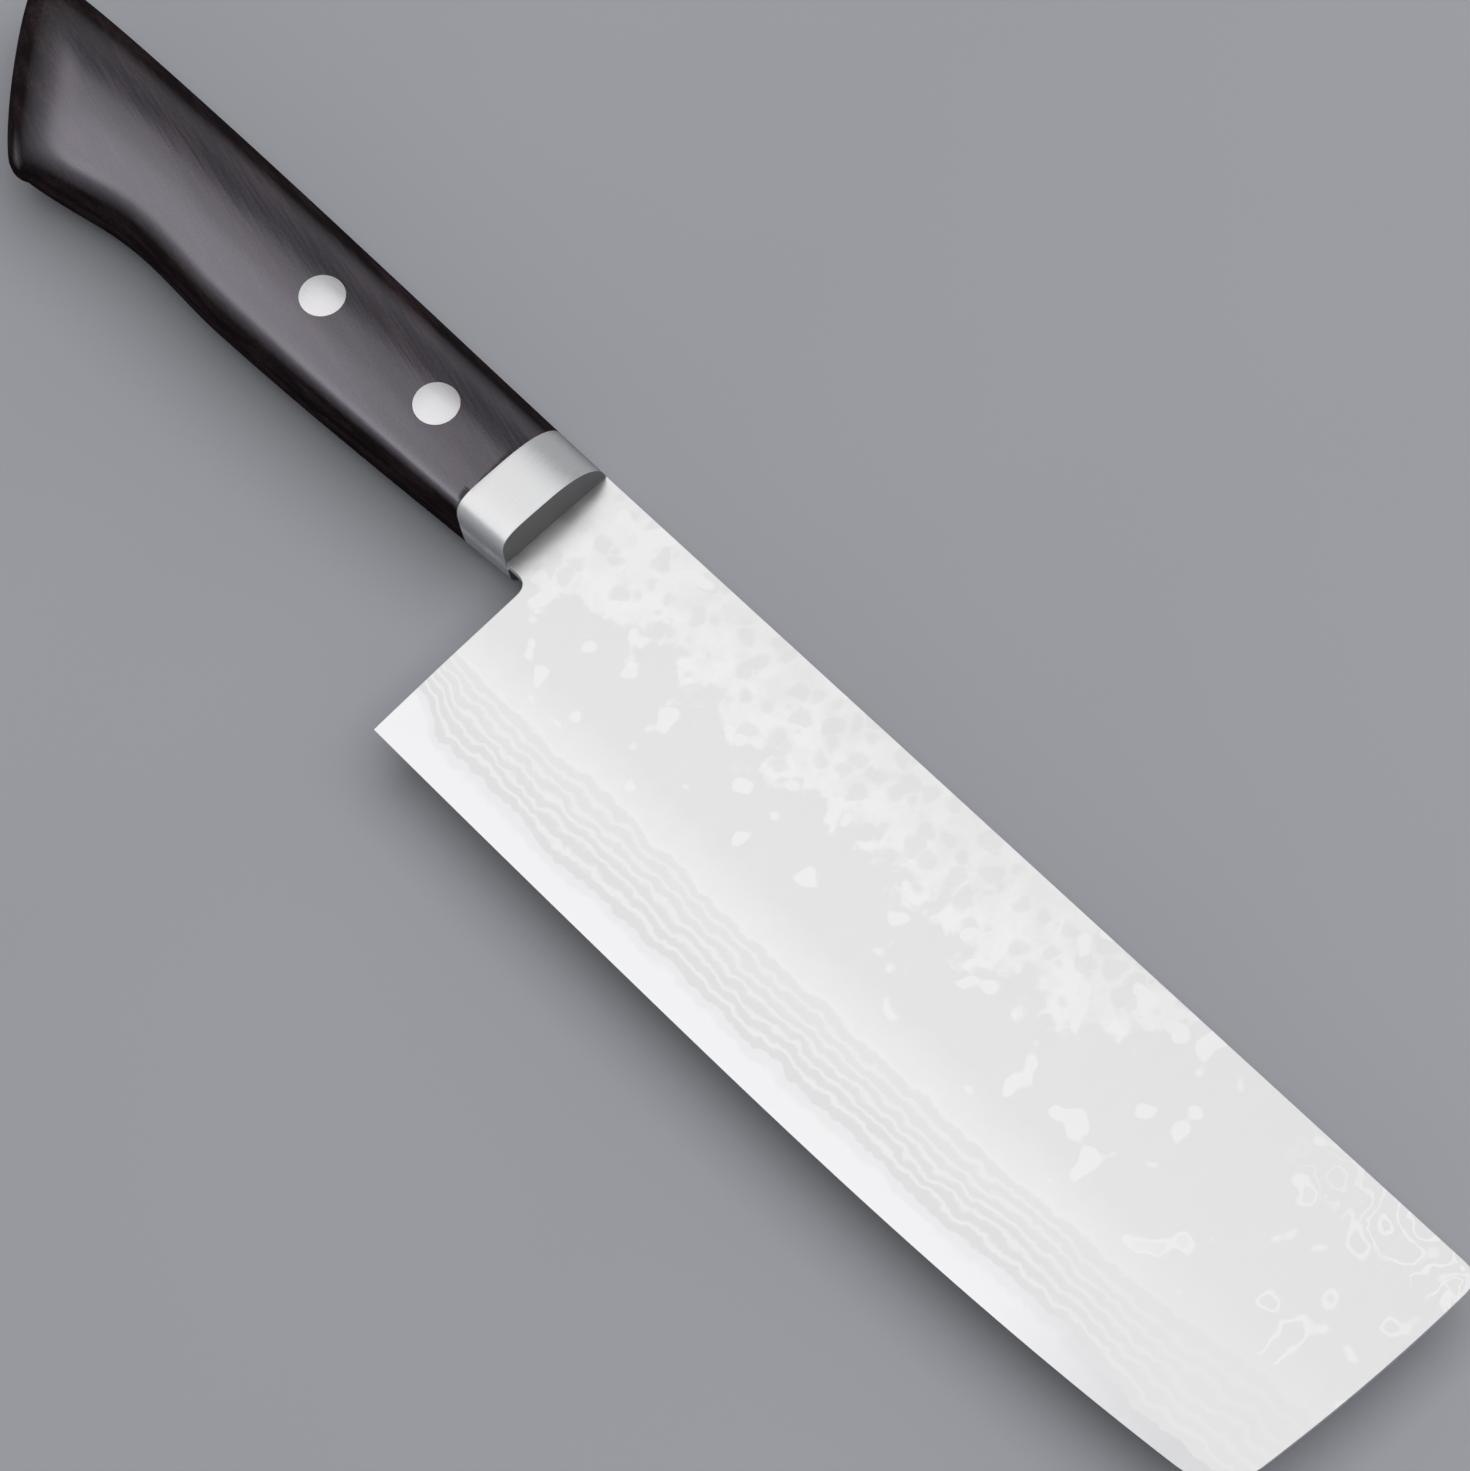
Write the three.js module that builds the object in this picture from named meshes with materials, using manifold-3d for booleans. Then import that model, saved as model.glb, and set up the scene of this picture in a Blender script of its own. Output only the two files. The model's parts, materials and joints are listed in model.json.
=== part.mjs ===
import * as THREE from 'three';
import { mergeVertices } from 'three/addons/utils/BufferGeometryUtils.js';
import Module from 'manifold-3d';

// A nakiri, the straight-edged vegetable knife, in millimetres. It lies on its left face: X runs along it
// to the tip, Y from the edge to the spine and Z up out of its right face. While it is drawn, X is 0 at
// the heel, Y is 0 at the spine and Z is 0 at the middle of the blade's thickness.

// Outline of the blade
const bladeLength = 165;
const bladeHeight = 50.4;
const edgeLowPlace = 43;
const heelRise = 0.2;
const toeRise = 5.6;
const toeRadius = 7;
const tipSetback = 4.3;
const spineCornerRadius = 3;
const heelLean = 0.8;
const notchRadius = 2.6;
const neckLength = 5.6;

// Thickness of the laminated plate and its grind
const plateThickness = 2;
const coreThickness = 0.6;
const tipThickness = 1.6;
const flatEdgeThickness = 0.96;
const coreBand = 5.4;
const bevelHeight = 0.8;
const bevelThickness = 0.24;
const edgeThickness = 0.08;

// Hidden tang
const tangLength = 50;
const tangHeight = 11;
const tangFit = 0.3;

// Bolster and grip, both cut from one form
const bolsterLength = 9.5;
const bolsterLip = 0.1;
const lipSetback = 0.3;
const bolsterHeight = 19.6;
const bolsterThickness = 14.1;
const palmPlace = 62.4;
const palmHeight = 23.1;
const palmThickness = 19.4;
const waistPlace = 84.4;
const waistHeight = 22.9;
const waistThickness = 19.8;
const buttHeight = 26.6;
const buttThickness = 19.6;
const gripLength = 130;
const bellyLength = 105.4;
const spineSwell = 0.1;
const spineFall = 0.6;
const buttArch = 0.8;
const buttRound = 2.4;
const noseLength = 14;
const noseEndThickness = 4;

// Section of the grip: where its crown lies above the belly, and the powers that fill out its two sides
const crownShare = 0.46;
const bolsterBellyPower = 3.6;
const palmBellyPower = 3;
const bolsterSpinePower = 2.5;
const palmSpinePower = 2.8;

// Two-piece rivets
const rivetDrop = 11;
const frontRivetPlace = 23.3;
const rivetSpacing = 25.2;
const rivetHeadRadius = 3.5;
const rivetHeadThickness = 2.8;
const sleeveRadius = 2;
const pinRadius = 1.3;
const rivetFit = 0.1;
const rivetEndGap = 0.4;

// Fineness of the facets
const curveSteps = 8;
const edgeSteps = 20;
const tipSteps = 8;
const gripSteps = 20;
const noseSteps = 5;
const sectionSteps = 6;
const domeSteps = 4;
const rivetSides = 32;

// Places and sizes that follow from the ones above
const bolsterFront = -neckLength;
const bolsterRear = bolsterFront - bolsterLength;
const neckHeight = bolsterHeight - bolsterLip;
const halfPlate = plateThickness / 2;
const halfCore = coreThickness / 2;
const trim = bolsterHeight / 4;
const domePlace = bellyLength - buttRound;
const reach = gripLength + bladeLength;

const wasm = await Module();
wasm.setup();

// A closed geometry as a solid that can be joined and cut
function solid(geometry) {
  const bare = geometry.clone();
  bare.deleteAttribute('normal');
  bare.deleteAttribute('uv');
  const merged = mergeVertices(bare, 1e-4);
  const corners = Array.from(merged.index.array);
  const triangles = [];
  for (let i = 0; i < corners.length; i += 3) {
    const [a, b, c] = corners.slice(i, i + 3);
    if (a !== b && b !== c && c !== a) triangles.push(a, b, c);
  }
  const vertProperties = new Float32Array(merged.attributes.position.array);
  const triVerts = new Uint32Array(triangles);
  return new wasm.Manifold(new wasm.Mesh({ numProp: 3, vertProperties, triVerts }));
}

// A solid as a named mesh
function piece(name, body, material) {
  const { vertProperties, triVerts } = body.getMesh();
  const geometry = new THREE.BufferGeometry();
  geometry.setAttribute('position', new THREE.BufferAttribute(vertProperties, 3));
  geometry.setIndex(new THREE.BufferAttribute(triVerts, 1));
  const flat = geometry.toNonIndexed();
  flat.computeVertexNormals();
  const mesh = new THREE.Mesh(flat, material);
  mesh.name = name;
  return mesh;
}

// A flat outline given thickness between two heights
function slab(shape, low, high) {
  const settings = { depth: high - low, bevelEnabled: false, curveSegments: curveSteps };
  const geometry = new THREE.ExtrudeGeometry(shape, settings);
  return solid(geometry.translate(0, 0, low));
}

// A box between two corners
function block(low, high) {
  const size = high.clone().sub(low);
  const middle = low.clone().add(high).multiplyScalar(0.5);
  return solid(new THREE.BoxGeometry(size.x, size.y, size.z).translate(middle.x, middle.y, middle.z));
}

// A skin over rings of points, closed at both ends: the rings follow each other towards -X
function loft(rings) {
  const count = rings[0].length;
  const points = rings.flat();
  const faces = [];
  for (let ring = 0; ring < rings.length - 1; ring++) {
    for (let k = 0; k < count; k++) {
      const next = (k + 1) % count;
      const [a, b, c, d] = [k, next, next + count, k + count].map((corner) => corner + ring * count);
      faces.push(a, b, c, a, c, d);
    }
  }
  for (const [ring, turned] of [[0, false], [rings.length - 1, true]]) {
    const centre = points.length;
    points.push(rings[ring].reduce((sum, p) => sum.add(p), new THREE.Vector3()).divideScalar(count));
    for (let k = 0; k < count; k++) {
      const [a, b] = [k, (k + 1) % count].map((corner) => corner + ring * count);
      faces.push(centre, ...(turned ? [a, b] : [b, a]));
    }
  }
  const geometry = new THREE.BufferGeometry().setFromPoints(points);
  geometry.setIndex(faces);
  return solid(geometry);
}

// A smooth curve of a size along the grip
function profile(places, values) {
  const curve = new THREE.CubicInterpolant(places, values, 1);
  return (place) => curve.evaluate(place)[0];
}

// Height of the cutting edge: it falls from the heel to its lowest place and sweeps up to the toe
function edgeAt(x) {
  if (x < edgeLowPlace) return heelRise * ((edgeLowPlace - x) / edgeLowPlace) ** 2 - bladeHeight;
  return toeRise * ((x - edgeLowPlace) / (bladeLength - edgeLowPlace)) ** 3 - bladeHeight;
}

// Place of the blunt tip end, which leans back towards the toe
function tipAt(y) {
  return bladeLength - tipSetback * (y / bladeHeight) ** 2;
}

// Outline of the blade with its neck, left oversize inside the bolster
function bladeOutline() {
  const toeY = edgeAt(bladeLength - tipSetback);
  const toeX = tipAt(toeY);
  const lipX = bolsterFront - lipSetback;
  const shape = new THREE.Shape();
  shape.moveTo(lipX, 0);
  shape.lineTo(bladeLength - spineCornerRadius, 0);
  shape.quadraticCurveTo(bladeLength, 0, tipAt(-spineCornerRadius), -spineCornerRadius);
  for (let k = 1; k <= tipSteps; k++) {
    const y = THREE.MathUtils.lerp(-spineCornerRadius, toeY + toeRadius, k / tipSteps);
    shape.lineTo(tipAt(y), y);
  }
  shape.quadraticCurveTo(toeX, toeY, toeX - toeRadius, edgeAt(toeX - toeRadius));
  for (let k = 1; k <= edgeSteps; k++) {
    const x = THREE.MathUtils.lerp(toeX - toeRadius, 0, k / edgeSteps);
    shape.lineTo(x, edgeAt(x));
  }
  shape.lineTo(-heelLean, -neckHeight - notchRadius);
  shape.quadraticCurveTo(-heelLean, -neckHeight, -heelLean - notchRadius, -neckHeight);
  shape.lineTo(lipX, -neckHeight);
  shape.lineTo(lipX, -bolsterHeight - trim);
  shape.lineTo(bolsterRear, -bolsterHeight - trim);
  shape.lineTo(bolsterRear, trim);
  shape.lineTo(lipX, trim);
  return shape;
}

// Outline of the round-ended tang, grown all round by a clearance for its pocket
function tangOutline(clearance) {
  const radius = tangHeight / 2 + clearance;
  const endX = bolsterRear - tangLength + tangHeight / 2;
  const shape = new THREE.Shape();
  shape.moveTo(bolsterRear + bolsterLength / 2, -rivetDrop + radius);
  shape.lineTo(endX, -rivetDrop + radius);
  shape.absarc(endX, -rivetDrop, radius, Math.PI / 2, -Math.PI / 2, false);
  shape.lineTo(bolsterRear + bolsterLength / 2, -rivetDrop - radius);
  return shape;
}

// Half thickness of the blade's broad flat, which thins towards the tip and the edge
function flatAt(x, y) {
  const alongShare = (x - bolsterFront) / (bladeLength - bolsterFront);
  const downShare = -y / bladeHeight;
  const tipLoss = alongShare * (plateThickness - tipThickness);
  const edgeLoss = downShare * (plateThickness - flatEdgeThickness);
  return (plateThickness - tipLoss - edgeLoss) / 2;
}

// The ground blade: a broad flat, a bevel that bares the core and a narrow cutting bevel
function grindForm() {
  const bevelSlope = (bevelThickness - edgeThickness) / 2 / bevelHeight;
  const bandSlope = (halfCore - bevelThickness / 2) / (coreBand - bevelHeight);
  const flatSlope = flatAt(0, 1) - flatAt(0, 0);
  const rings = [];
  for (let k = 0; k <= edgeSteps; k++) {
    const x = THREE.MathUtils.lerp(bladeLength + trim, bolsterFront, k / edgeSteps);
    const bevelTop = edgeAt(x) + bevelHeight;
    const shoulder = bevelTop + (flatAt(x, bevelTop) - bevelThickness / 2) / (bandSlope - flatSlope);
    const below = edgeAt(x) - edgeThickness / 4 / bevelSlope;
    const side = [
      [below, edgeThickness / 4],
      [bevelTop, bevelThickness / 2],
      [shoulder, flatAt(x, shoulder)],
      [trim, flatAt(x, trim)],
    ];
    const right = side.map(([y, half]) => new THREE.Vector3(x, y, half));
    const left = side.map(([y, half]) => new THREE.Vector3(x, y, -half));
    rings.push([...right, ...left.reverse()]);
  }
  return loft(rings);
}

// One half of the grip's section, from belly to spine: place across it and share of the half thickness
function gripSection(bellyPower, spinePower) {
  const side = [];
  for (let k = 0; k <= 2 * sectionSteps; k++) {
    const turn = (k / sectionSteps) * (Math.PI / 2);
    const power = k < sectionSteps ? bellyPower : spinePower;
    const across = Math.abs(Math.cos(turn)) ** (2 / power);
    const through = Math.max(Math.sin(turn), 0) ** (2 / power);
    const place = k < sectionSteps ? crownShare * (1 - across) : crownShare + (1 - crownShare) * across;
    side.push({ place, through });
  }
  side[0].through = 0;
  side[2 * sectionSteps].through = 0;
  return side;
}

const halfGripAt = profile(
  [0, palmPlace, waistPlace, domePlace],
  [bolsterThickness / 2, palmThickness / 2, waistThickness / 2, buttThickness / 2],
);
const bellyAt = profile(
  [0, palmPlace, waistPlace, domePlace],
  [-bolsterHeight, -palmHeight, -waistHeight, -buttHeight],
);
const spineAt = profile([0, waistPlace, domePlace], [0, spineSwell, -spineFall]);
const powerPlaces = [0, palmPlace, domePlace];
const bellyPowerAt = profile(powerPlaces, [bolsterBellyPower, palmBellyPower, palmBellyPower]);
const spinePowerAt = profile(powerPlaces, [bolsterSpinePower, palmSpinePower, palmSpinePower]);

// The whole grip with the bolster, from the bolster's front face to the slanted butt, which is rounded
// at its corners and, along a longer nose, through its thickness
function gripForm() {
  const ring = (share, inset, push, noseRun) => {
    const place = share * domePlace;
    const section = gripSection(bellyPowerAt(place), spinePowerAt(place));
    const belly = new THREE.Vector2(bolsterFront - place, bellyAt(place));
    const spine = new THREE.Vector2(bolsterFront - share * (gripLength - buttRound), spineAt(place));
    const across = spine.clone().sub(belly).normalize();
    const outward = new THREE.Vector2(-across.y, across.x);
    belly.addScaledVector(across, inset).addScaledVector(outward, push);
    spine.addScaledVector(across, -inset).addScaledVector(outward, push);
    const fullness = Math.sqrt(1 - noseRun ** 2);
    const half = THREE.MathUtils.lerp(noseEndThickness / 2, halfGripAt(place), fullness);
    const point = ({ place: f, through }, face) => {
      const arch = buttArch * share ** 3 * 4 * f * (1 - f);
      const at = belly.clone().lerp(spine, f).addScaledVector(outward, arch);
      return new THREE.Vector3(at.x, at.y, face * half * through);
    };
    const right = section.map((s) => point(s, 1));
    const left = section.slice(1, -1).map((s) => point(s, -1));
    return [...right, ...left.reverse()];
  };
  const noseShare = 1 - (noseLength - buttRound) / domePlace;
  const roundShare = buttRound / noseLength;
  const rings = [];
  for (let k = 0; k <= gripSteps; k++) rings.push(ring((k / gripSteps) * noseShare, 0, 0, 0));
  for (let k = 1; k <= noseSteps; k++) {
    const run = k / noseSteps;
    rings.push(ring(THREE.MathUtils.lerp(noseShare, 1, run), 0, 0, run * (1 - roundShare)));
  }
  for (let k = 1; k <= domeSteps; k++) {
    const turn = (k / domeSteps) * (Math.PI / 2);
    const out = Math.sin(turn);
    rings.push(ring(1, buttRound * (1 - Math.cos(turn)), buttRound * out, 1 - (1 - out) * roundShare));
  }
  return loft(rings);
}

// A turned body standing at a rivet's place, from points of radius and height
function turned(points, x) {
  const outline = points.map(([radius, height]) => new THREE.Vector2(radius, height));
  const geometry = new THREE.LatheGeometry(outline, rivetSides).rotateX(Math.PI / 2);
  return solid(geometry.translate(x, -rivetDrop, 0));
}

const grip = gripForm();
const envelope = grindForm().add(grip);
const frontRivetX = bolsterFront - frontRivetPlace;
const rivets = [frontRivetX, frontRivetX - rivetSpacing].map((x) => {
  const seat = halfGripAt(bolsterFront - x) - rivetHeadThickness;
  return { x, seat };
});

// The stepped hole through both scales and the plate that takes a rivet
function rivetHole({ x, seat }, headRadius, shankRadius) {
  return turned([
    [0, -reach],
    [headRadius, -reach],
    [headRadius, -seat],
    [shankRadius, -seat],
    [shankRadius, seat],
    [headRadius, seat],
    [headRadius, reach],
    [0, reach],
  ], x);
}

// The male half: a head ground flush with the right scale and a pin
function rivetPin({ x, seat }) {
  return turned([
    [0, rivetEndGap - seat],
    [pinRadius, rivetEndGap - seat],
    [pinRadius, seat],
    [rivetHeadRadius, seat],
    [rivetHeadRadius, reach],
    [0, reach],
  ], x).intersect(grip);
}

// The female half: a head ground flush with the left scale and a sleeve bored for the pin
function rivetSleeve({ x, seat }) {
  const bore = pinRadius + rivetFit;
  return turned([
    [0, -reach],
    [rivetHeadRadius, -reach],
    [rivetHeadRadius, -seat],
    [sleeveRadius, -seat],
    [sleeveRadius, seat - rivetEndGap],
    [bore, seat - rivetEndGap],
    [bore, -seat],
    [0, -seat],
  ], x).intersect(grip);
}

// One layer of the laminated plate: ground in front of the bolster, flush inside it and drilled in the tang
function layer(low, high) {
  const plate = slab(bladeOutline(), low, high).add(slab(tangOutline(0), low, high));
  const shankRadius = sleeveRadius + tangFit;
  const holes = rivets.map((rivet) => rivetHole(rivet, shankRadius, shankRadius));
  return holes.reduce((left, hole) => left.subtract(hole), plate).intersect(envelope);
}

// A bolster half on one side of the plate
function bolster(face) {
  const [low, high] = face > 0 ? [halfPlate, reach] : [-reach, -halfPlate];
  const rear = new THREE.Vector3(bolsterRear, -reach, low);
  const front = new THREE.Vector3(bolsterFront, reach, high);
  return grip.intersect(block(rear, front));
}

// A handle scale, hollowed for half of the tang and drilled for the rivets
function scale(face) {
  const [low, high] = face > 0 ? [0, reach] : [-reach, 0];
  const rear = new THREE.Vector3(-reach, -reach, low);
  const front = new THREE.Vector3(bolsterRear, reach, high);
  const pocket = slab(tangOutline(tangFit), -halfPlate, halfPlate);
  const hollowed = grip.intersect(block(rear, front)).subtract(pocket);
  const holes = rivets.map((rivet) => {
    return rivetHole(rivet, rivetHeadRadius + rivetFit, sleeveRadius + rivetFit);
  });
  return holes.reduce((left, hole) => left.subtract(hole), hollowed);
}

const steel = (color, roughness) => new THREE.MeshStandardMaterial({ color, roughness, metalness: 1 });
const wood = () => new THREE.MeshStandardMaterial({ color: 0x2c2a2d, roughness: 0.38, metalness: 0 });

const knife = new THREE.Group();
knife.add(
  piece('blade_core', layer(-halfCore, halfCore), steel(0xe6e4e7, 0.25)),
  piece('right_cladding', layer(halfCore, halfPlate), steel(0xdddbdd, 0.35)),
  piece('left_cladding', layer(-halfPlate, -halfCore), steel(0xdddbdd, 0.35)),
  piece('right_bolster', bolster(1), steel(0xd8d8d8, 0.3)),
  piece('left_bolster', bolster(-1), steel(0xd8d8d8, 0.3)),
  piece('right_scale', scale(1), wood()),
  piece('left_scale', scale(-1), wood()),
  piece('front_rivet_pin', rivetPin(rivets[0]), steel(0xd6d3d0, 0.3)),
  piece('front_rivet_sleeve', rivetSleeve(rivets[0]), steel(0xd6d3d0, 0.3)),
  piece('rear_rivet_pin', rivetPin(rivets[1]), steel(0xd6d3d0, 0.3)),
  piece('rear_rivet_sleeve', rivetSleeve(rivets[1]), steel(0xd6d3d0, 0.3)),
);

// The origin is under the middle of the knife's box, on the plane that it lies on
const box = new THREE.Box3().setFromObject(knife);
const middle = box.getCenter(new THREE.Vector3());
knife.position.set(-middle.x, -middle.y, -box.min.z);

export default knife;
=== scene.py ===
import json
import math
import bmesh
import bpy
from mathutils import Matrix, Quaternion, Vector

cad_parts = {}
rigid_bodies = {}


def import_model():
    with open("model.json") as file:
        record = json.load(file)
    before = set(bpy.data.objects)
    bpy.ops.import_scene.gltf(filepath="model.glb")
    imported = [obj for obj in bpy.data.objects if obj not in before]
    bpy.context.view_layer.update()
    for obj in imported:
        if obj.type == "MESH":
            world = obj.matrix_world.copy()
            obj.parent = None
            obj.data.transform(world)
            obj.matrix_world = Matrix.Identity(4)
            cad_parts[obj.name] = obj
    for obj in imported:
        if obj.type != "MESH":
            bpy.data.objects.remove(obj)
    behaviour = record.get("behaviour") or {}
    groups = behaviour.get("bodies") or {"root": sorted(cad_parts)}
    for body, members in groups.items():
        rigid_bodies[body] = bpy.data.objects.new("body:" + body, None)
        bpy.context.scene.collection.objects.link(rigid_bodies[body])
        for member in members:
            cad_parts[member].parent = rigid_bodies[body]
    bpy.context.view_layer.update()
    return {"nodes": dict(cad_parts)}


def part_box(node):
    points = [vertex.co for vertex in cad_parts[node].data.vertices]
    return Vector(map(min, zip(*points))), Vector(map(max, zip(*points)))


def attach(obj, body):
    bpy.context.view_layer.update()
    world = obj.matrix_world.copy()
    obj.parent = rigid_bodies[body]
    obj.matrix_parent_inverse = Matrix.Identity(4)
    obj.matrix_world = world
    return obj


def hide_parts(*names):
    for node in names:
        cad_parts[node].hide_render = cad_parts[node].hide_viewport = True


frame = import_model()
scene = bpy.context.scene
print("frame loaded:", len(frame["nodes"]), "solids")

# Every piece is drawn in millimetres like a workshop drawing: x from the heel to the tip, y up to the spine,
# z out of the right face. The drawing is then set into the frame. Several pieces share these sizes.
drawing = {"neckLength": 5.6, "bladeHeight": 50.4, "halfPlate": 1.0, "toMetres": 0.001}
bolsterFront = -drawing["neckLength"]
heelSpot = Vector((
    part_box("right_bolster")[1].x - bolsterFront * drawing["toMetres"],
    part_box("blade_core")[0].y + drawing["bladeHeight"] * drawing["toMetres"],
    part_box("right_scale")[0].z,
))
toFrame = Matrix.Translation(heelSpot) @ Matrix.Scale(drawing["toMetres"], 4)

# How near counts as touching, in millimetres, and the bend in radians past which an edge counts as sharp
near = {"cut": 1e-5, "weld": 1e-4, "touch": 1e-3, "sharpBend": 0.7}
noiseLow, noiseHigh = 0.3, 0.7  # most of a noise texture's values lie between these


def hexColor(text):  # sRGB hex to the linear colour that the shader wants
    parts = [int(text[k:k + 2], 16) / 255 for k in (1, 3, 5)]
    return [c / 12.92 if c <= 0.04045 else ((c + 0.055) / 1.055) ** 2.4 for c in parts] + [1.0]


# One node with its settings, values and incoming links. On a Mix node, inputs 2 and 3 are the numbers to mix,
# inputs 6 and 7 the colours, and outputs 0 and 2 what comes of them.
def addNode(tree, kind, links=None, **settings):
    made = tree.nodes.new(kind)
    for key, value in settings.items():
        setattr(made, key, value)
    for key, value in (links or {}).items():
        if isinstance(value, bpy.types.NodeSocket):
            tree.links.new(value, made.inputs[key])
        else:
            made.inputs[key].default_value = value
    return made


def newMaterial(name):  # an empty node tree with the drawing's millimetres as its coordinates
    material = bpy.data.materials.new(name)
    material.use_nodes = True
    tree = material.node_tree
    tree.nodes.clear()
    source = addNode(tree, "ShaderNodeTexCoord").outputs["Object"]
    spot = addNode(tree, "ShaderNodeMapping", {
        "Vector": source,
        "Location": -heelSpot / drawing["toMetres"],
        "Scale": [1 / drawing["toMetres"]] * 3,
    }).outputs["Vector"]
    return material, tree, spot


def setRamp(ramp, stops):  # stops are (place, grey level) pairs
    while len(ramp.elements) < len(stops):
        ramp.elements.new(1.0)
    for element, (place, level) in zip(ramp.elements, stops):
        element.position = place
        element.color = (level, level, level, 1)


def smoothCurve(places, values):  # a smooth line through a few sizes along the grip
    rises = [(b - a) / (q - p) for p, q, a, b in zip(places, places[1:], values, values[1:])]
    slopes = [rises[0]] + [(a + b) / 2 for a, b in zip(rises, rises[1:])] + [rises[-1]]

    def sizeAt(place):
        k = max(i for i in range(len(rises)) if i == 0 or places[i] <= place)
        span = places[k + 1] - places[k]
        t = (place - places[k]) / span
        low = values[k] * (1 + 2 * t) * (1 - t) ** 2 + values[k + 1] * t * t * (3 - 2 * t)
        return low + span * (slopes[k] * t * (1 - t) ** 2 - slopes[k + 1] * t * t * (1 - t))
    return sizeAt


def cutAway(bm, spot, normal):  # takes off what lies on the normal's side and closes the wall
    everything = bm.verts[:] + bm.edges[:] + bm.faces[:]
    bmesh.ops.bisect_plane(bm, geom=everything, dist=near["cut"], plane_co=spot, plane_no=normal,
                           clear_outer=True)
    bmesh.ops.holes_fill(bm, edges=[e for e in bm.edges if e.is_boundary], sides=0)


def easeEdges(bm, width, segments, picks):  # rounds the sharp edges that a test picks
    closed = [e for e in bm.edges if len(e.link_faces) == 2]
    sharp = [e for e in closed if e.calc_face_angle(0) > near["sharpBend"] and picks(e)]
    bmesh.ops.bevel(bm, geom=sharp, offset=width, offset_type="OFFSET", segments=segments, profile=0.5,
                    affect="EDGES", material=-1, clamp_overlap=True)


def liesAt(edge, axis, place):  # whether both ends of an edge lie on a plane across an axis
    return all(abs(v.co[axis] - place) < near["touch"] for v in edge.verts)


def toObject(name, bm):
    mesh = bpy.data.meshes.new(name)
    bm.to_mesh(mesh)
    bm.free()
    made = bpy.data.objects.new(name, mesh)
    scene.collection.objects.link(made)
    return made


def carve(piece, tool, operation):  # a joiner's cut, applied to the mesh at once
    cut = piece.modifiers.new("cut", "BOOLEAN")
    cut.operation = operation
    cut.solver = "EXACT"
    cut.object = tool
    result = bpy.data.meshes.new_from_object(piece.evaluated_get(bpy.context.evaluated_depsgraph_get()))
    piece.modifiers.clear()
    piece.data = result
    bpy.data.objects.remove(tool)


def finishPiece(piece, node, material, creaseAngle):
    piece.data.transform(toFrame)
    piece.data.materials.clear()
    piece.data.materials.append(material)
    piece.data.shade_smooth()
    piece.data.set_sharp_from_angle(angle=math.radians(creaseAngle))
    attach(piece, "root")
    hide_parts(node)
    print("made", piece.name, len(piece.data.polygons), "faces")
    return piece


# Camera: the photograph's own viewpoint, a long lens over the edge side of the tip. Its focal length is a
# share of the picture's longer side, both in the photograph's pixels.
view = {
    "spot": (269.685, -156.568, 570.229), "aim": (37.497, -14.918, 0.0), "roll": -13.0,
    "focalShare": 4500 / 1471, "sensor": 36.0,
}
cameraData = bpy.data.cameras.new("camera")
cameraData.sensor_width = view["sensor"]
cameraData.lens = view["sensor"] * view["focalShare"]
camera = bpy.data.objects.new("camera", cameraData)
scene.collection.objects.link(camera)
lookSpot = toFrame @ Vector(view["spot"])
lookAlong = toFrame @ Vector(view["aim"]) - lookSpot
camera.location = lookSpot
camera.rotation_mode = "QUATERNION"
turnedView = lookAlong.to_track_quat("-Z", "Y") @ Quaternion((0, 0, 1), math.radians(view["roll"]))
camera.rotation_quaternion = turnedView
scene.camera = camera
scene.view_settings.view_transform = "Standard"
print("camera set")


# Steel of the bolster and rivets: plain stainless, belt ground and buffed to a satin. Faint hairlines run
# along the grind, and it darkens at grazing angles. Faces that look along the blade get a darker colour,
# which is painted shade, because the bolster's front shows dark in the photograph.
satinLook = {
    "bolster": "#f2f2f2", "rivet": "#f2f0f1", "front": "#a6a6a6", "paintedShadeFacing": (0.6, 0.9),
    "grazing": "#3c3c3c", "hairline": 0.25, "hairlineLength": 14.0, "hairlineShade": 0.93,
    "roughness": 0.45, "roughSpread": 0.03,
}


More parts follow.
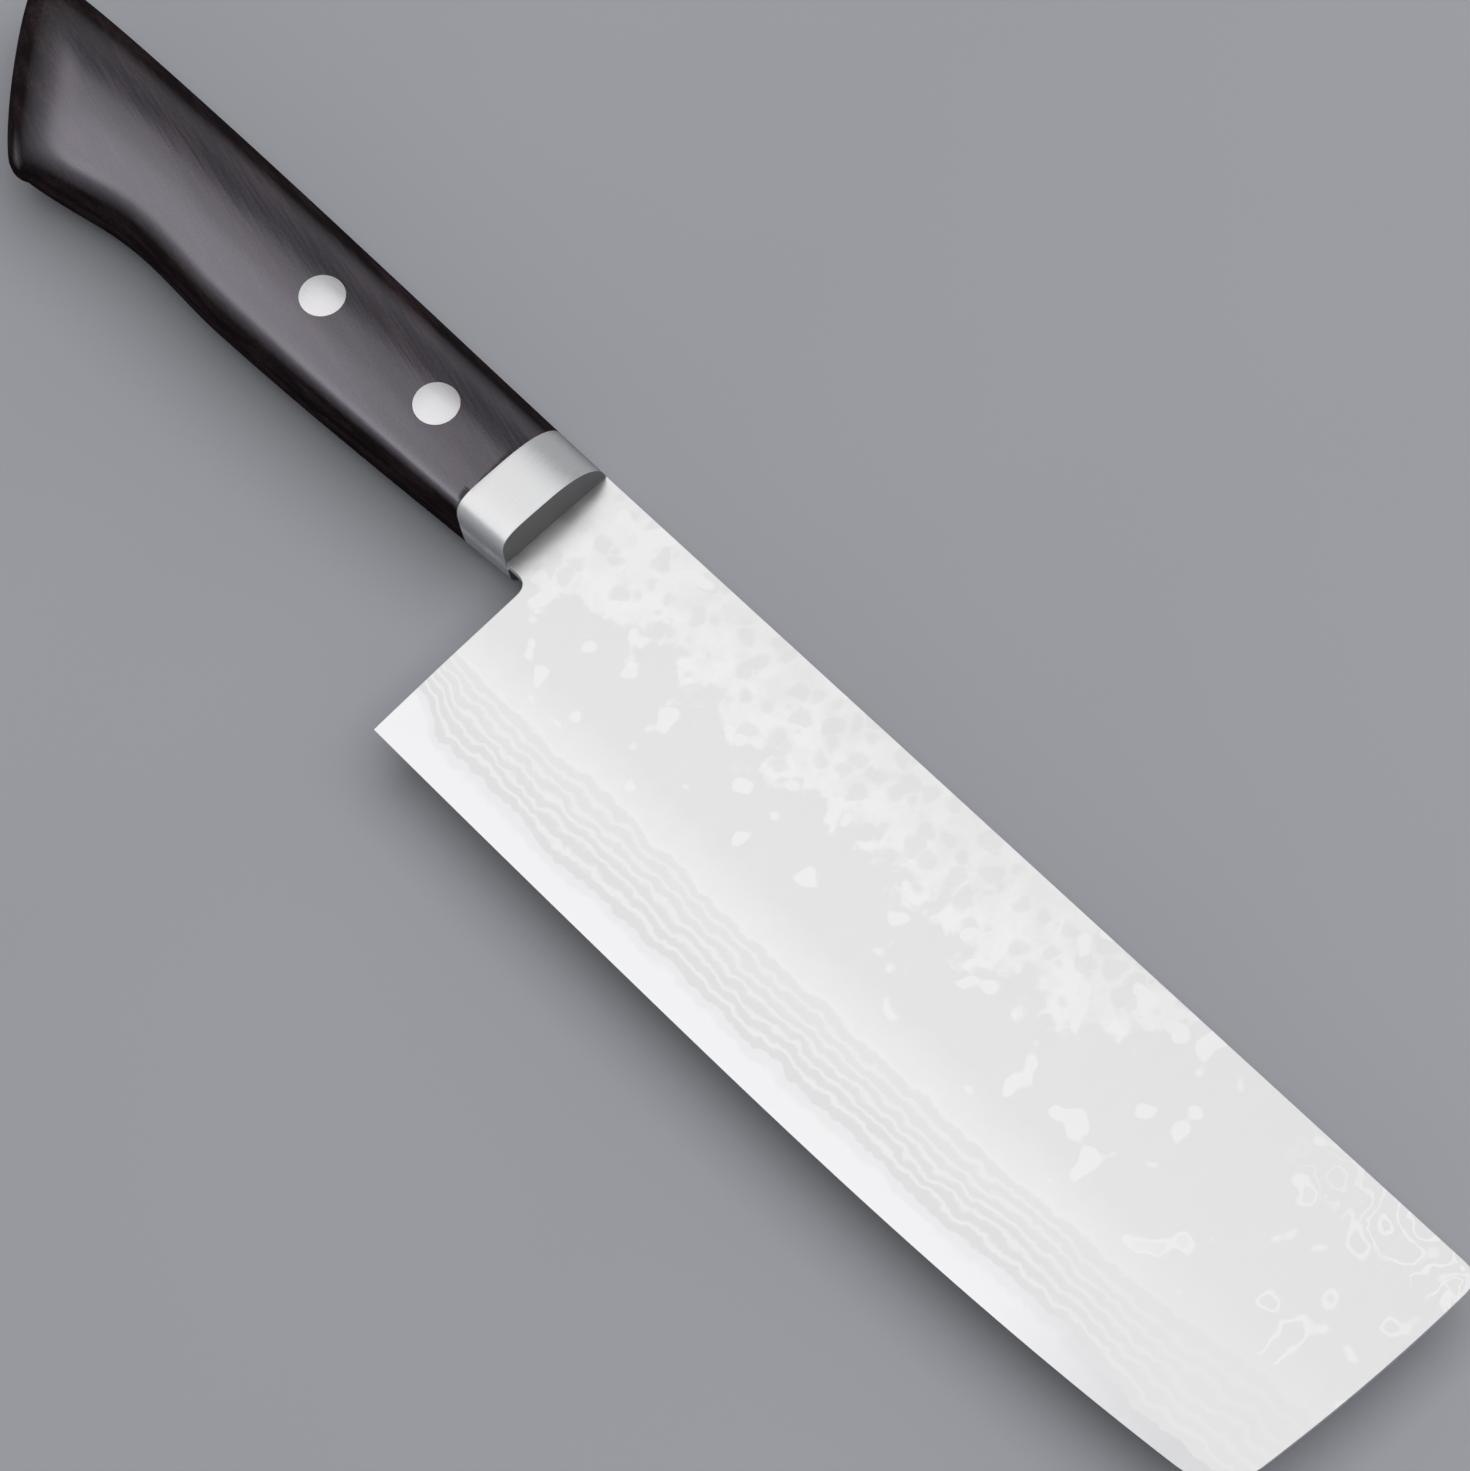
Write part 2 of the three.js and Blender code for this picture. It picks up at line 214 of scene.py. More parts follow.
def satinSteel(name, steel, along):  # along is the axis that the hairlines run along
    material, tree, spot = newMaterial(name)
    look = satinLook
    stretch = [1 / look["hairlineLength" if axis == along else "hairline"] for axis in range(3)]
    lineSpot = addNode(tree, "ShaderNodeMapping", {"Vector": spot, "Scale": stretch}).outputs["Vector"]
    hairlines = addNode(tree, "ShaderNodeTexNoise", {
        "Vector": lineSpot, "Scale": 1.0, "Detail": 3.0}).outputs["Fac"]
    rough = addNode(tree, "ShaderNodeMapRange", {
        "Value": hairlines, "From Min": noiseLow, "From Max": noiseHigh,
        "To Min": look["roughness"] - look["roughSpread"],
        "To Max": look["roughness"] + look["roughSpread"]}).outputs["Result"]
    shade = addNode(tree, "ShaderNodeMapRange", {
        "Value": hairlines, "From Min": noiseLow, "From Max": noiseHigh,
        "To Min": look["hairlineShade"], "To Max": 1.0}).outputs["Result"]
    normal = addNode(tree, "ShaderNodeNewGeometry").outputs["Normal"]
    forward = addNode(tree, "ShaderNodeSeparateXYZ", {"Vector": normal}).outputs["X"]
    aside, ahead = look["paintedShadeFacing"]
    # painted shade: faces that look along the blade are mixed towards the darker front colour
    paintedFrontShade = addNode(tree, "ShaderNodeMapRange", {
        "Value": forward, "From Min": aside, "From Max": ahead}).outputs["Result"]
    steelWithPaintedShade = addNode(tree, "ShaderNodeMix", {
        "Factor": paintedFrontShade, 6: hexColor(look[steel]), 7: hexColor(look["front"])}, data_type="RGBA").outputs[2]
    color = addNode(tree, "ShaderNodeMix", {
        "Factor": 1.0, 6: steelWithPaintedShade, 7: shade}, data_type="RGBA", blend_type="MULTIPLY").outputs[2]
    shader = addNode(tree, "ShaderNodeBsdfPrincipled", {
        "Base Color": color, "Metallic": 1.0, "Roughness": rough,
        "Specular Tint": hexColor(look["grazing"])}).outputs["BSDF"]
    addNode(tree, "ShaderNodeOutputMaterial", {"Surface": shader})
    return material


# Handle wood: black laminated hardwood soaked with resin, sanded along the grain and buffed. Seen straight on
# it has a soft cool sheen that fine streaks of pores break up. At grazing angles it is black. A few plies are
# warmer.
woodLook = {
    "dark": "#1b1718", "ply": "#33282a", "plyTint": (0.18, 0.4), "plyWidth": 2.6, "plyLength": 40.0,
    "grain": 0.34, "grainLength": 9.0, "slant": 13.0, "roughness": 0.27, "roughSpread": 0.04, "ior": 2.05,
    "sheenTint": "#f8f1ff", "sheenFacing": (0.1, 0.47), "streaks": 0.12, "streakNoise": (0.3, 0.65),
    "coat": 0.4, "coatRoughness": 0.28, "poreStrength": 0.06, "poreDepth": 0.05,
}


def handleWood():
    material, tree, spot = newMaterial("black laminated hardwood, resin filled and buffed")
    look = woodLook
    turned = addNode(tree, "ShaderNodeMapping", {
        "Vector": spot, "Rotation": (0, 0, math.radians(look["slant"]))}).outputs["Vector"]
    grainStretch = (1 / look["grainLength"], 1 / look["grain"], 1 / look["grain"])
    grainSpot = addNode(tree, "ShaderNodeMapping", {
        "Vector": turned, "Scale": grainStretch}).outputs["Vector"]
    grain = addNode(tree, "ShaderNodeTexNoise", {
        "Vector": grainSpot, "Scale": 1.0, "Detail": 4.0, "Roughness": 0.6}).outputs["Fac"]
    plyStretch = (1 / look["plyLength"], 1 / look["plyWidth"], 1 / look["plyWidth"])
    plySpot = addNode(tree, "ShaderNodeMapping", {"Vector": turned, "Scale": plyStretch}).outputs["Vector"]
    plies = addNode(tree, "ShaderNodeTexNoise", {
        "Vector": plySpot, "Scale": 1.0, "Detail": 2.0}).outputs["Fac"]
    warmth = addNode(tree, "ShaderNodeMath", {0: grain, 1: plies}, operation="MULTIPLY").outputs[0]
    cold, warm = look["plyTint"]
    tint = addNode(tree, "ShaderNodeMapRange", {
        "Value": warmth, "From Min": cold, "From Max": warm}).outputs["Result"]
    color = addNode(tree, "ShaderNodeMix", {
        "Factor": tint, 6: hexColor(look["dark"]), 7: hexColor(look["ply"])}, data_type="RGBA").outputs[2]
    rough = addNode(tree, "ShaderNodeMapRange", {
        "Value": grain, "From Min": noiseLow, "From Max": noiseHigh,
        "To Min": look["roughness"] - look["roughSpread"],
        "To Max": look["roughness"] + look["roughSpread"]}).outputs["Result"]
    facing = addNode(tree, "ShaderNodeLayerWeight", {"Blend": 0.5}).outputs["Facing"]
    straightOn, grazing = look["sheenFacing"]
    sheen = addNode(tree, "ShaderNodeMapRange", {
        "Value": facing, "From Min": straightOn, "From Max": grazing, "To Min": 1.0, "To Max": 0.0},
        interpolation_type="SMOOTHSTEP").outputs["Result"]
    pore, solid = look["streakNoise"]
    streaks = addNode(tree, "ShaderNodeMapRange", {
        "Value": grain, "From Min": pore, "From Max": solid,
        "To Min": 1 - look["streaks"], "To Max": 1.0}).outputs["Result"]
    gloss = addNode(tree, "ShaderNodeMath", {0: sheen, 1: streaks}, operation="MULTIPLY").outputs[0]
    coat = addNode(tree, "ShaderNodeMath", {0: gloss, 1: look["coat"]}, operation="MULTIPLY").outputs[0]
    bump = addNode(tree, "ShaderNodeBump", {
        "Height": grain, "Strength": look["poreStrength"],
        "Distance": look["poreDepth"] * drawing["toMetres"]}).outputs["Normal"]
    shader = addNode(tree, "ShaderNodeBsdfPrincipled", {
        "Base Color": color, "Roughness": rough, "IOR": look["ior"], "Specular IOR Level": gloss,
        "Specular Tint": hexColor(look["sheenTint"]), "Coat Weight": coat,
        "Coat Roughness": look["coatRoughness"], "Normal": bump, "Coat Normal": bump}).outputs["BSDF"]
    addNode(tree, "ShaderNodeOutputMaterial", {"Surface": shader})
    return material


bolsterSteel = satinSteel("stainless steel, belt ground round the bolster and buffed", "bolster", 1)
rivetSteel = satinSteel("stainless steel, rivet heads ground along the handle", "rivet", 0)
gripWood = handleWood()
print("handle materials made")


# Grip: one form for the bolster and the handle, as it is when the knife is ground. Thickness and belly are
# given at the bolster's front, the palm, the waist and the butt, the spine at the front, the waist and the
# butt. Powers are given at the front, the palm and the butt: 2 makes an elliptic section, more a boxier one.
grip = {
    "bolsterLength": 9.5, "length": 130.0, "bellyLength": 105.4, "buttRound": 2.4, "buttArch": 0.8,
    "noseLength": 14.0, "noseEndHalf": 2.0, "palmPlace": 62.4, "waistPlace": 84.4,
    "halfThickness": (7.05, 9.7, 9.9, 9.8), "bellyDrop": (19.6, 23.1, 22.9, 26.6),
    "spineRise": (0.0, 0.1, -0.6), "bellyPower": (5.2, 3.0, 3.0), "spinePower": (2.5, 2.8, 2.8),
    "crown": 0.46, "skin": 0.01,
    "rings": 80, "sides": 128, "noseRings": 14, "domeRings": 12,
}
bolsterRear = bolsterFront - grip["bolsterLength"]
domePlace = grip["bellyLength"] - grip["buttRound"]
gripPlaces = (0, grip["palmPlace"], grip["waistPlace"], domePlace)
halfAt = smoothCurve(gripPlaces, grip["halfThickness"])
bellyAt = smoothCurve(gripPlaces, grip["bellyDrop"])
spineAt = smoothCurve((0, grip["waistPlace"], domePlace), grip["spineRise"])
bellyPowerAt = smoothCurve((0, grip["palmPlace"], domePlace), grip["bellyPower"])
spinePowerAt = smoothCurve((0, grip["palmPlace"], domePlace), grip["spinePower"])


def gripPoint(share, turn, inset=0.0, push=0.0, noseRun=0.0):  # turn is 0 at the belly, pi at the spine
    inset, push = inset + grip["skin"], push - grip["skin"]  # a hair inside the solids' ends
    place = share * domePlace
    belly = Vector((bolsterFront - place, -bellyAt(place)))
    spine = Vector((bolsterFront - share * (grip["length"] - grip["buttRound"]), spineAt(place)))
    across = (spine - belly).normalized()
    outward = Vector((-across.y, across.x))
    belly += across * inset + outward * push * share
    spine += outward * push * share - across * inset
    noseHalf = grip["noseEndHalf"]
    half = noseHalf + (halfAt(place) - noseHalf) * math.sqrt(1 - noseRun ** 2) - grip["skin"]
    onBelly = math.cos(turn) > 0
    power = bellyPowerAt(place) if onBelly else spinePowerAt(place)
    reach = abs(math.cos(turn)) ** (2 / power)
    rise = math.copysign(abs(math.sin(turn)) ** (2 / power), math.sin(turn))
    crown = grip["crown"]
    climb = crown * (1 - reach) if onBelly else crown + (1 - crown) * reach  # 0 at the belly, 1 at the spine
    arch = outward * grip["buttArch"] * share ** 3 * 4 * climb * (1 - climb)  # grows to the butt
    spot = belly.lerp(spine, climb) + arch
    return Vector((spot.x, spot.y, half * rise))


def gripBody():  # a ring of points drawn out ring by ring, rounded over the nose and closed at the butt
    bm = bmesh.new()
    turnLayer = bm.verts.layers.float.new("turn")
    ring = bmesh.ops.create_circle(bm, segments=grip["sides"], radius=1, cap_ends=True)["verts"]
    for v in ring:
        v[turnLayer] = math.atan2(v.co.y, v.co.x)
    edges = bm.edges[:]
    noseShare = 1 - (grip["noseLength"] - grip["buttRound"]) / domePlace
    roundShare = grip["buttRound"] / grip["noseLength"]
    steps = [(noseShare * k / grip["rings"], 0, 0, 0) for k in range(grip["rings"] + 1)]
    for k in range(1, grip["noseRings"] + 1):
        run = k / grip["noseRings"]
        steps.append((noseShare + (1 - noseShare) * run, 0, 0, run * (1 - roundShare)))
    for k in range(1, grip["domeRings"] + 1):
        angle = k / grip["domeRings"] * math.pi / 2
        out, drawnIn = math.sin(angle), grip["buttRound"] * (1 - math.cos(angle))
        steps.append((1, drawnIn, grip["buttRound"] * out, 1 - (1 - out) * roundShare))
    for k, (share, inset, push, noseRun) in enumerate(steps):
        if k > 0:
            grown = bmesh.ops.extrude_edge_only(bm, edges=edges)["geom"]
            ring = [g for g in grown if isinstance(g, bmesh.types.BMVert)]
            edges = [g for g in grown if isinstance(g, bmesh.types.BMEdge)]
        for v in ring:
            v.co = gripPoint(share, v[turnLayer], inset, push, noseRun)
    bmesh.ops.holes_fill(bm, edges=edges, sides=0)
    bmesh.ops.remove_doubles(bm, verts=bm.verts, dist=near["weld"])
    bmesh.ops.recalc_face_normals(bm, faces=bm.faces)
    return bm


# Rivets: a headed pin in a headed sleeve, their heads ground flush with the wood. They are turned too long,
# as far as reach, and cut to the grip's form.
rivet = {
    "drop": 11.0, "frontPlace": 23.3, "spacing": 25.2, "headRadius": 3.5, "headThickness": 2.8,
    "sleeveRadius": 2.0, "pinRadius": 1.3, "fit": 0.1, "endGap": 0.4, "gap": 0.05, "ease": 0.07,
    "easeOver": 0.5, "flatAngle": 0.3, "crease": 30, "sides": 96, "reach": 15.0, "cutReach": 16.0,
}
frontRivetX = bolsterFront - rivet["frontPlace"]
rivetSpots = {"front": frontRivetX, "rear": frontRivetX - rivet["spacing"]}


def lathe(profile, x):  # turns a profile of (radius, height) pairs about a rivet's axis
    bm = bmesh.new()
    spots = [bm.verts.new((x + radius, -rivet["drop"], height)) for radius, height in profile]
    line = [bm.edges.new(pair) for pair in zip(spots, spots[1:])]
    axisSpot = (x, -rivet["drop"], 0)
    bmesh.ops.spin(bm, geom=spots + line, cent=axisSpot, axis=(0, 0, 1), angle=2 * math.pi,
                   steps=rivet["sides"], use_merge=True)
    bmesh.ops.remove_doubles(bm, verts=bm.verts, dist=near["weld"])
    bmesh.ops.recalc_face_normals(bm, faces=bm.faces)
    return bm


def rivetSeat(x):
    return halfAt(bolsterFront - x) - rivet["headThickness"]


def makeRivet(which, part):
    x = rivetSpots[which]
    seat, far = rivetSeat(x), rivet["reach"]
    head, tube, pin = rivet["headRadius"], rivet["sleeveRadius"], rivet["pinRadius"]
    end = seat - rivet["endGap"]
    if part == "pin":
        profile = [(0, -end), (pin, -end), (pin, seat), (head, seat), (head, far), (0, far)]
    else:
        bore = pin + rivet["fit"]
        outside = [(0, -far), (head, -far), (head, -seat), (tube, -seat), (tube, end)]
        profile = outside + [(bore, end), (bore, -seat), (0, -seat)]
    piece = toObject(which + "Rivet" + part.capitalize(), lathe(profile, x))
    carve(piece, toObject("gripTool", gripBody()), "INTERSECT")
    bm = bmesh.new()
    bm.from_mesh(piece.data)
    bmesh.ops.dissolve_limit(bm, angle_limit=math.radians(rivet["flatAngle"]), verts=bm.verts, edges=bm.edges)
    easeEdges(bm, rivet["ease"], 2, lambda e: min(abs(v.co.z) for v in e.verts) > seat + rivet["easeOver"])
    bm.to_mesh(piece.data)
    bm.free()
    finishPiece(piece, which + "_rivet_" + part, rivetSteel, rivet["crease"])


for which in rivetSpots:
    for part in ("pin", "sleeve"):
        makeRivet(which, part)


# Bolster halves: welded to each face of the plate, front edges eased by the belt
bolster = {"frontLean": 2.5, "frontEase": 0.2, "seamEase": 0.05, "crease": 30}
plateFace = drawing["halfPlate"]
leanSlope = math.tan(math.radians(bolster["frontLean"]))
for side, face in (("right", 1), ("left", -1)):
    bm = gripBody()
    cutAway(bm, (bolsterRear, 0, 0), (-1, 0, 0))
    cutAway(bm, (0, 0, face * plateFace), (0, 0, -face))
    easeEdges(bm, bolster["frontEase"], 3, lambda e: liesAt(e, 0, bolsterFront) and all(
        abs(v.co.z) > plateFace + near["touch"] for v in e.verts))
    for v in bm.verts:  # the front leans back a little from its foot on the blade
        fromRear = (v.co.x - bolsterRear) / grip["bolsterLength"]
        v.co.x -= fromRear * (abs(v.co.z) - plateFace) * leanSlope
    easeEdges(bm, bolster["seamEase"], 2, lambda e: liesAt(e, 0, bolsterRear))
    piece = toObject(side + "Bolster", bm)
    finishPiece(piece, side + "_bolster", bolsterSteel, bolster["crease"])


# Scales: two slabs hollowed for the tang, drilled for the rivets and shaped with the bolster. The cutter for
# the tang starts ahead of the seam, so that its pocket is open there.
scale = {
    "tangLength": 50.0, "tangHeight": 11.0, "tangFit": 0.3, "cutAhead": 2.0, "endFlat": 0.05, "endSteps": 16,
    "seamEase": 0.06, "crease": 30,
}


def tangCutter():
    half = scale["tangHeight"] / 2 + scale["tangFit"]
    front, rear = bolsterRear + scale["cutAhead"], bolsterRear - scale["tangLength"] - scale["tangFit"]
    middle, size = (front + rear) / 2, (front - rear, 2 * half, 2 * drawing["halfPlate"])
    bm = bmesh.new()
    place = Matrix.Translation((middle, -rivet["drop"], 0)) @ Matrix.Diagonal((*size, 1))
    bmesh.ops.create_cube(bm, size=1, matrix=place)
    easeEdges(bm, half - scale["endFlat"], scale["endSteps"], lambda e: all(
        v.co.x < middle for v in e.verts) and abs(e.verts[0].co.z - e.verts[1].co.z) > near["touch"])
    bmesh.ops.recalc_face_normals(bm, faces=bm.faces)
    return toObject("tangTool", bm)


def rivetCutter(x):
    seat, far = rivetSeat(x), rivet["cutReach"]
    head, tube = rivet["headRadius"] + rivet["gap"], rivet["sleeveRadius"] + rivet["fit"]
    lower = [(0, -far), (head, -far), (head, -seat), (tube, -seat)]
    upper = [(radius, -height) for radius, height in reversed(lower)]
    return toObject("rivetTool", lathe(lower + upper, x))


for side, face in (("right", 1), ("left", -1)):
    bm = gripBody()
    cutAway(bm, (bolsterRear, 0, 0), (1, 0, 0))
    cutAway(bm, (0, 0, 0), (0, 0, -face))
    easeEdges(bm, scale["seamEase"], 2, lambda e: liesAt(e, 2, 0) or liesAt(e, 0, bolsterRear))
    piece = toObject(side + "Scale", bm)
    carve(piece, tangCutter(), "DIFFERENCE")
    for x in rivetSpots.values():
        carve(piece, rivetCutter(x), "DIFFERENCE")
    finishPiece(piece, side + "_scale", gripWood, scale["crease"])


# Blade: one outline for the three layers, ground to a wedge with a narrow cutting bevel
blade = {
    "length": 165.0, "edgeLow": 43.0, "heelRise": 0.2, "toeRise": 5.6, "toeRadius": 7.0, "tipSetback": 4.3,
    "spineCorner": 3.0, "heelLean": 0.8, "notchRadius": 2.6, "neckHeight": 19.5, "lipSetback": 0.3,
    "halfCore": 0.3, "halfTip": 0.8, "halfFlatEdge": 0.48, "coreBand": 5.4, "bevelHeight": 0.8,
    "halfBevel": 0.12, "halfEdge": 0.04, "blend": 0.03, "featherEdge": 0.01, "ease": 0.14, "easeOver": 0.15,
    "spineTouch": 0.01, "bellyTouch": 0.05, "crease": 40,
    "cell": 2.5, "cornerSteps": 8, "tipSteps": 16, "edgeSteps": 60, "tangSteps": 16,
}


# Layered steel: a hard core between stainless claddings of many thin layers, ground and satin polished. The
# grind cuts the layers at a slant, so they show as faint pale lines along the edge, a pale web by the spine
# and soft spots between. Paleness runs from 0, the colour of the ground, to 1, the colour of the figure.
steelLook = {
    "ground": "#dddcdd", "figure": "#f2f1f0", "core": "#efeeef", "coreTop": "#e9e8e9", "coreToe": "#d9d9db",
    "toeRun": (122.0, 152.0), "coreTopFade": (2.0, 1.0), "coreBlend": 0.15, "drift": 1.6, "driftSize": 4.0,
    "roughness": 0.3, "paleRoughness": 0.04, "polishSpread": 0.02, "polishLine": 0.2, "polishLength": 10.0,
}

# Lines: (height above the edge, paleness, paleness beside it). They wander and jag, fan out to the toe, lift
# at the heel and fade to the tip. Above the last one a haze clears to a plain paleness.
lineLook = {
    "lines": (
        (7.1, 0.72, 0.05), (8.9, 0.68, 0.07), (10.7, 0.72, 0.2),
        (12.5, 0.7, 0.3), (14.4, 0.72, 0.35), (16.5, 0.85, 0.4),
    ),
    "width": 0.3, "crest": 0.4, "foot": 1.8, "zone": (5.0, 23.0), "haze": 0.75, "plain": 0.34,
    "wander": 2.0, "wanderSize": 20.0, "jag": 1.5, "jagSize": 3.6, "fan": 3.2, "fanHeights": (3.0, 17.0),
    "heelRun": 8.5, "heelLift": 1.8, "fadeRun": (116.0, 146.0), "fade": 0.7, "fadedPale": 0.39,
}


def heightOverEdge(tree, x, y):  # follows the rise of the edge to the toe
    past = addNode(tree, "ShaderNodeMath", {0: x, 1: blade["edgeLow"]}, operation="SUBTRACT").outputs[0]
    run = blade["length"] - blade["edgeLow"]
    share = addNode(tree, "ShaderNodeMath", {0: past, 1: run}, operation="DIVIDE", use_clamp=True).outputs[0]
    cube = addNode(tree, "ShaderNodeMath", {0: share, 1: 3.0}, operation="POWER").outputs[0]
    lift = addNode(tree, "ShaderNodeMath", {
        0: cube, 1: -blade["toeRise"], 2: drawing["bladeHeight"]}, operation="MULTIPLY_ADD").outputs[0]
    return addNode(tree, "ShaderNodeMath", {0: y, 1: lift}, operation="ADD").outputs[0]


def layerLevel(tree, x, height, toeRun):  # the height that this layer has on the straight of the blade
    look = lineLook
    low, high = look["fanHeights"]
    fan = addNode(tree, "ShaderNodeMapRange", {
        "Value": height, "From Min": low, "From Max": high,
        "To Min": look["fan"], "To Max": 0.0}).outputs["Result"]
    level = addNode(tree, "ShaderNodeMath", {
        0: toeRun, 1: fan, 2: height}, operation="MULTIPLY_ADD").outputs[0]
    alongEdge = addNode(tree, "ShaderNodeCombineXYZ", {"X": x, "Y": height}).outputs[0]
    for size, amount in ((look["wanderSize"], look["wander"]), (look["jagSize"], look["jag"])):
        wave = addNode(tree, "ShaderNodeTexNoise", {
            "Vector": alongEdge, "Scale": 1 / size, "Detail": 2.0, "Roughness": 0.6}).outputs["Fac"]
        shift = addNode(tree, "ShaderNodeMath", {
            0: wave, 1: 2 * amount, 2: -amount}, operation="MULTIPLY_ADD").outputs[0]
        level = addNode(tree, "ShaderNodeMath", {0: level, 1: shift}, operation="ADD").outputs[0]
    byHeel = addNode(tree, "ShaderNodeMapRange", {
        "Value": x, "From Min": look["heelRun"], "From Max": 0.0, "To Max": look["heelLift"]},
        interpolation_type="SMOOTHSTEP").outputs["Result"]
    heelFan = addNode(tree, "ShaderNodeMath", {0: byHeel, 1: fan}, operation="MULTIPLY").outputs[0]
    return addNode(tree, "ShaderNodeMath", {0: level, 1: heelFan}, operation="SUBTRACT").outputs[0]


def edgeLines(tree, x, level):
    look = lineLook
    low, high = look["zone"]
    levelShare = addNode(tree, "ShaderNodeMapRange", {
        "Value": level, "From Min": low, "From Max": high}).outputs["Result"]
    lines = addNode(tree, "ShaderNodeValToRGB", {"Fac": levelShare})
    stops = []
    for middle, pale, beside in look["lines"]:
        for step, value in ((-look["foot"], beside), (-look["crest"], pale),
                            (look["crest"], pale), (look["foot"], beside)):
            stops.append(((middle + step * look["width"] - low) / (high - low), value))
    stops[-1] = (stops[-1][0], look["haze"])
    setRamp(lines.color_ramp, stops + [(1.0, look["plain"])])
    start, end = look["fadeRun"]
    fade = addNode(tree, "ShaderNodeMapRange", {
        "Value": x, "From Min": start, "From Max": end, "To Max": look["fade"]}).outputs["Result"]
    return addNode(tree, "ShaderNodeMix", {
        "Factor": fade, 2: lines.outputs["Color"], 3: look["fadedPale"]}).outputs[0]


# Web by the spine: pale clumps round greyer cells, with a ragged border that reaches deeper at the neck and
# runs out before the tip. It is greyer close to the spine.
webLook = {
    "depth": 14.0, "neckRun": 14.0, "neckDepth": 6.0, "end": 104.0, "endRun": 16.0, "endLoss": 24.0,
    "ragged": 26.0, "borderBlend": 1.5, "cellSize": 3.6, "cellSmooth": 0.2, "cellReach": 0.55,
    "cellBlend": 0.14, "cellShade": 0.45, "clumpSize": 5.0, "clumpNoise": (0.38, 0.6), "clumpShade": 0.62,
    "spineZone": (-9.0, -2.0), "spineShade": 0.76,
}


def spineWeb(tree, x, y, spot, drifted):  # how pale the web is, and where it is
    look = webLook
    cells = addNode(tree, "ShaderNodeTexVoronoi", {
        "Vector": drifted, "Scale": 1 / look["cellSize"], "Smoothness": look["cellSmooth"]},
        voronoi_dimensions="2D", feature="SMOOTH_F1").outputs
    luck = addNode(tree, "ShaderNodeSeparateColor", {"Color": cells["Color"]}).outputs[0]
    reach = addNode(tree, "ShaderNodeMapRange", {
        "Value": luck, "To Max": look["cellReach"]}).outputs["Result"]
    inCell = addNode(tree, "ShaderNodeMath", {
        0: reach, 1: cells["Distance"]}, operation="SUBTRACT").outputs[0]
    wall = addNode(tree, "ShaderNodeMapRange", {
        "Value": inCell, "From Min": -look["cellBlend"], "From Max": look["cellBlend"],
        "To Min": 1.0, "To Max": look["cellShade"]}, interpolation_type="SMOOTHSTEP").outputs["Result"]
    clumps = addNode(tree, "ShaderNodeTexNoise", {
        "Vector": spot, "Scale": 1 / look["clumpSize"], "Detail": 3.0, "Roughness": 0.55,
        "Distortion": 0.3}).outputs["Fac"]
    thin, full = look["clumpNoise"]
    clumpShade = addNode(tree, "ShaderNodeMapRange", {
        "Value": clumps, "From Min": thin, "From Max": full,
        "To Min": look["clumpShade"], "To Max": 1.0}).outputs["Result"]
    below, above = look["spineZone"]
    spineShade = addNode(tree, "ShaderNodeMapRange", {
        "Value": y, "From Min": below, "From Max": above,
        "To Min": 1.0, "To Max": look["spineShade"]}).outputs["Result"]
    clumped = addNode(tree, "ShaderNodeMath", {0: wall, 1: clumpShade}, operation="MULTIPLY").outputs[0]
    web = addNode(tree, "ShaderNodeMath", {0: clumped, 1: spineShade}, operation="MULTIPLY").outputs[0]
    neckDepth = addNode(tree, "ShaderNodeMapRange", {
        "Value": x, "From Min": 0.0, "From Max": look["neckRun"],
        "To Min": look["neckDepth"], "To Max": 0.0}).outputs["Result"]
    endLoss = addNode(tree, "ShaderNodeMapRange", {
        "Value": x, "From Min": look["end"], "From Max": look["end"] + look["endRun"],
        "To Max": look["endLoss"]}).outputs["Result"]
    border = addNode(tree, "ShaderNodeMath", {0: neckDepth, 1: endLoss}, operation="SUBTRACT").outputs[0]
    inside = addNode(tree, "ShaderNodeMath", {0: y, 1: border}, operation="ADD").outputs[0]
    ragged = addNode(tree, "ShaderNodeMath", {
        0: clumps, 1: look["ragged"], 2: inside}, operation="MULTIPLY_ADD").outputs[0]
    middle = look["ragged"] / 2 - look["depth"]
    inWeb = addNode(tree, "ShaderNodeMapRange", {
        "Value": ragged, "From Min": middle - look["borderBlend"], "From Max": middle + look["borderBlend"]},
        interpolation_type="SMOOTHSTEP").outputs["Result"]
    return web, inWeb


# Spots: few and soft above the lines, more at both ends, hollow near the tip. There thin contours run along
# the spine. The cut is a level of the noise that the spots are drawn from, and rim and hollow count from it.
spotLook = {
    "size": 5.2, "cut": 0.635, "rim": (-0.02, 0.055), "pale": 0.9, "hollow": (0.075, 0.1), "hollowLoss": 0.6,
    "tipRun": (96.0, 124.0), "heelRun": (26.0, 8.0), "endGain": 0.042, "heights": (17.0, 19.0),
    "contourSize": 9.0, "contourStep": 0.05, "contourWidth": 0.012, "contourZone": (-9.0, -6.0),
}


